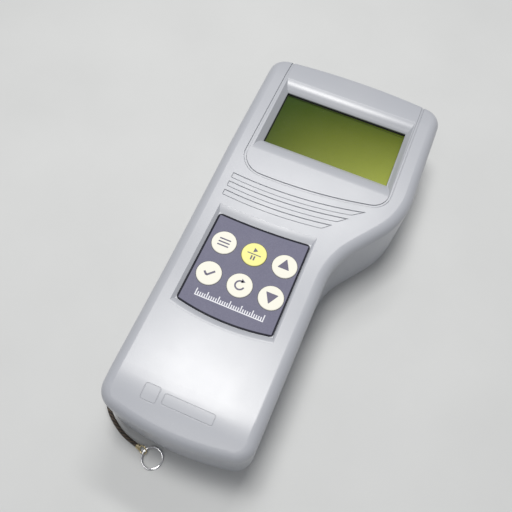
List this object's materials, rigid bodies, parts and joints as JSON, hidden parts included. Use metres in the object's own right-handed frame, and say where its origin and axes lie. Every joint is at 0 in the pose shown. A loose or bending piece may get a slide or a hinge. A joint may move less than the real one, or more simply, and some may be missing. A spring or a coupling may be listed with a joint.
{
  "type": "handheld weather meter",
  "caption": "Handheld airflow and climate meter: grip with round keys, flared display head, sockets, battery compartment and strap ring.",
  "frame": {"origin": "middle of the case's flat back, in plan the middle of the case's outline", "axes": "+Z out of the face, +Y from the foot to the display end, +X to the side where the head flares out"},
  "size_m": [0.0919, 0.2011, 0.041],
  "materials": {
    "case_plastic": "satin, fine moulded grain",
    "steel": "zinc plated",
    "bright_steel": "nickel plated",
    "brass": "pale polished",
    "plate_foil": "satin, blank",
    "window": "clear",
    "black_foam": "matt",
    "lcd": "olive green, unlit",
    "rubber_grey": "matt",
    "board_green": "solder resist",
    "black_plastic": "satin",
    "overlay_film": "satin printed film",
    "key_cream": "satin",
    "key_yellow": "satin",
    "ribbon": "amber film",
    "cell_wrap": "plain wrap",
    "cord": "braided"
  },
  "bodies": {
    "meter": {"analog_jack": "black_plastic", "battery_cells": "cell_wrap", "battery_contacts": "bright_steel", "battery_springs": "bright_steel", "battery_tray": "black_plastic", "board_capacitors": "bright_steel", "board_chips": "black_plastic", "buzzer": "black_plastic", "case_screws": "steel", "data_socket": "black_plastic", "dc_jack": "black_plastic", "dc_jack_pin": "bright_steel", "display_gasket": "black_foam", "display_insert": "case_plastic", "display_lens": "window", "dome_down": "rubber_grey", "dome_menu": "rubber_grey", "dome_mode": "rubber_grey", "dome_set": "rubber_grey", "dome_start": "rubber_grey", "dome_up": "rubber_grey", "front_case": "case_plastic", "key_board": "board_green", "key_board_screws": "steel", "key_cable": "ribbon", "key_cable_socket": "black_plastic", "keypad_overlay": "overlay_film", "lcd_board": "board_green", "lcd_board_screws": "steel", "lcd_contact_strips": "rubber_grey", "lcd_frame": "bright_steel", "lcd_glass": "lcd", "lcd_header": "black_plastic", "main_board": "board_green", "main_board_screws": "steel", "power_switch": "black_plastic", "probe_socket": "bright_steel", "probe_socket_contacts": "brass", "probe_socket_insert": "black_plastic", "probe_socket_nut": "bright_steel", "rating_plate": "plate_foil", "rear_case": "case_plastic", "strap_cord": "cord", "strap_ferrule": "brass", "strap_loop": "brass"},
    "menu_key": {"key_menu": "key_cream"},
    "start_key": {"key_start": "key_yellow"},
    "up_key": {"key_up": "key_cream"},
    "set_key": {"key_set": "key_cream"},
    "mode_key": {"key_mode": "key_cream"},
    "down_key": {"key_down": "key_cream"},
    "cover": {"battery_cover": "case_plastic"},
    "ring": {"split_ring": "bright_steel"},
    "slider": {"power_slider": "black_plastic"}
  },
  "joints": [
    {"name": "menu_press", "type": "slide", "parent": "meter", "child": "menu_key", "axis": [0, 0, -1], "range_m": [0, 0.0006], "stiffness_N_per_m": 1500, "springref_m": -0.0002, "deforming": ["dome_menu"]},
    {"name": "start_press", "type": "slide", "parent": "meter", "child": "start_key", "axis": [0, 0, -1], "range_m": [0, 0.0006], "stiffness_N_per_m": 1500, "springref_m": -0.0002, "deforming": ["dome_start"]},
    {"name": "up_press", "type": "slide", "parent": "meter", "child": "up_key", "axis": [0, 0, -1], "range_m": [0, 0.0006], "stiffness_N_per_m": 1500, "springref_m": -0.0002, "deforming": ["dome_up"]},
    {"name": "set_press", "type": "slide", "parent": "meter", "child": "set_key", "axis": [0, 0, -1], "range_m": [0, 0.0006], "stiffness_N_per_m": 1500, "springref_m": -0.0002, "deforming": ["dome_set"]},
    {"name": "mode_press", "type": "slide", "parent": "meter", "child": "mode_key", "axis": [0, 0, -1], "range_m": [0, 0.0006], "stiffness_N_per_m": 1500, "springref_m": -0.0002, "deforming": ["dome_mode"]},
    {"name": "down_press", "type": "slide", "parent": "meter", "child": "down_key", "axis": [0, 0, -1], "range_m": [0, 0.0006], "stiffness_N_per_m": 1500, "springref_m": -0.0002, "deforming": ["dome_down"]},
    {"name": "cover_hinge", "type": "hinge", "parent": "meter", "child": "cover", "pos_m": [-0.0112, 0.023, 0.0012], "axis": [1, 0, 0], "range_deg": [0, 95]},
    {"name": "slider_slide", "type": "slide", "parent": "meter", "child": "slider", "axis": [0, 1, 0], "range_m": [0, 0.004]},
    {"name": "ring_swing", "type": "hinge", "parent": "meter", "child": "ring", "pos_m": [-0.02286, -0.09969, 0.00206], "axis": [-0.2756, -0.9613, 0], "range_deg": [0, 60]}
  ]
}
